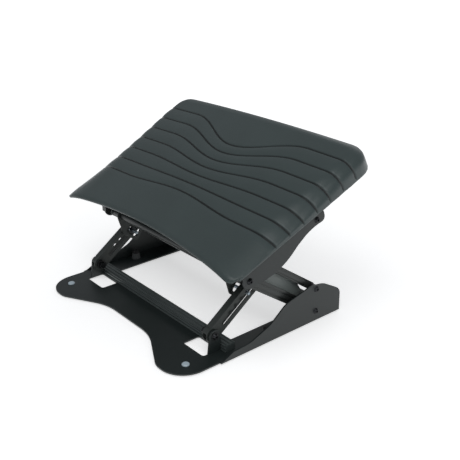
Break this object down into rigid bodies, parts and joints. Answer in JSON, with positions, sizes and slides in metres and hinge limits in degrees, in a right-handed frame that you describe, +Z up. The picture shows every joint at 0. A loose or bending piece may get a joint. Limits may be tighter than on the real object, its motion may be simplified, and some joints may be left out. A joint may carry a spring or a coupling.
{
  "type": "adjustable footrest",
  "caption": "Footrest with a wavy ribbed tilting tray on a parallelogram lift, held at each height by notched prop arms and a locking rod, over a lobed flat steel base.",
  "frame": {"origin": "centre of the bounding box's floor rectangle, on the floor under the rubber pads", "axes": "+X to the sitter's right along the tray's width, +Y from the low front edge towards the high rear edge, +Z up"},
  "size_m": [0.472, 0.3682, 0.2932],
  "materials": {
    "dark_paint": "fine satin powder coat",
    "dark_extrusion": "satin, ridged",
    "bar_extrusion": "dark anodised, satin",
    "web_steel": "satin grey paint",
    "arm_paint": "satin olive grey paint",
    "zinc_steel": "zinc plated",
    "black_steel": "black oxide",
    "black_plastic": "moulded, matt",
    "grey_rubber": "matt",
    "dark_rubber": "matt",
    "pale_plastic": "smooth",
    "tray_plastic": "fine moulded grain"
  },
  "bodies": {
    "base": {"base_plate": "dark_paint", "front_crossbar": "dark_extrusion", "buffers": "grey_rubber", "buffer_caps": "dark_rubber", "foot_pads": "dark_rubber", "foot_pins": "pale_plastic", "tab_bolts": "zinc_steel", "tab_washers": "black_steel", "tab_nuts": "zinc_steel", "base_pivot_bolts": "zinc_steel", "base_pivot_spacers": "black_plastic", "base_pivot_nuts": "zinc_steel"},
    "lift_frame": {"lower_bar_left": "bar_extrusion", "lower_bar_right": "bar_extrusion", "lift_web_left": "web_steel", "lift_web_right": "web_steel", "rod_hanger_left": "arm_paint", "rod_hanger_right": "arm_paint", "front_cross_tube": "dark_paint", "rear_cross_tube": "dark_paint", "front_pivot_bolts": "zinc_steel"},
    "upper_links": {"upper_bar_left": "bar_extrusion", "upper_bar_right": "bar_extrusion"},
    "carrier": {"bracket_left": "dark_paint", "bracket_right": "dark_paint", "carrier_front_tube": "dark_paint", "carrier_tube_bolts": "zinc_steel", "tilt_rod": "zinc_steel", "tilt_rod_screws": "zinc_steel", "tilt_washers": "black_steel"},
    "tray_frame": {"tray": "tray_plastic", "tray_rail_left": "dark_paint", "tray_rail_right": "dark_paint", "tilt_quadrant_left": "zinc_steel", "tilt_quadrant_right": "zinc_steel", "cross_rail_front": "dark_paint", "cross_rail_rear": "dark_paint", "tray_hinge_rod": "zinc_steel"},
    "left_arm": {"prop_arm_left": "arm_paint", "arm_bush_left": "black_plastic"},
    "right_arm": {"prop_arm_right": "arm_paint", "arm_bush_right": "black_plastic"},
    "rod": {"locking_rod": "zinc_steel", "rod_clips": "zinc_steel"}
  },
  "joints": [
    {"name": "height", "type": "hinge", "parent": "base", "child": "lift_frame", "pos_m": [0, 0.09186, 0.02], "axis": [-1, 0, 0], "range_deg": [-23, 6]},
    {"name": "upper_link_turn", "type": "hinge", "parent": "base", "child": "upper_links", "pos_m": [0, 0.09186, 0.0602], "axis": [-1, 0, 0], "range_deg": [-23.5, 6.5]},
    {"name": "carrier_level", "type": "hinge", "parent": "lift_frame", "child": "carrier", "pos_m": [0, -0.04427, 0.11674], "axis": [-1, 0, 0], "range_deg": [-6.5, 23.5]},
    {"name": "tray_tilt", "type": "hinge", "parent": "carrier", "child": "tray_frame", "pos_m": [0, -0.05515, 0.16951], "axis": [1, 0, 0], "range_deg": [-18, 0]},
    {"name": "left_arm_turn", "type": "hinge", "parent": "base", "child": "left_arm", "pos_m": [0, -0.09514, 0.0327], "axis": [1, 0, 0], "range_deg": [-33.6, 8.9]},
    {"name": "right_arm_turn", "type": "hinge", "parent": "base", "child": "right_arm", "pos_m": [0, -0.09514, 0.0327], "axis": [1, 0, 0], "range_deg": [-33.6, 8.9]},
    {"name": "rod_slide", "type": "slide", "parent": "right_arm", "child": "rod", "axis": [0, 0.8161, 0.5779], "range_m": [-0.0325, 0.009]}
  ],
  "couplings": [
    {"joint": "upper_link_turn", "follows": "height", "ratio": 1},
    {"joint": "carrier_level", "follows": "height", "ratio": -1},
    {"joint": "left_arm_turn", "follows": "height", "ratio": 1.45},
    {"joint": "right_arm_turn", "follows": "height", "ratio": 1.45},
    {"joint": "rod_slide", "follows": "height", "m_per_rad": 0.0802}
  ]
}
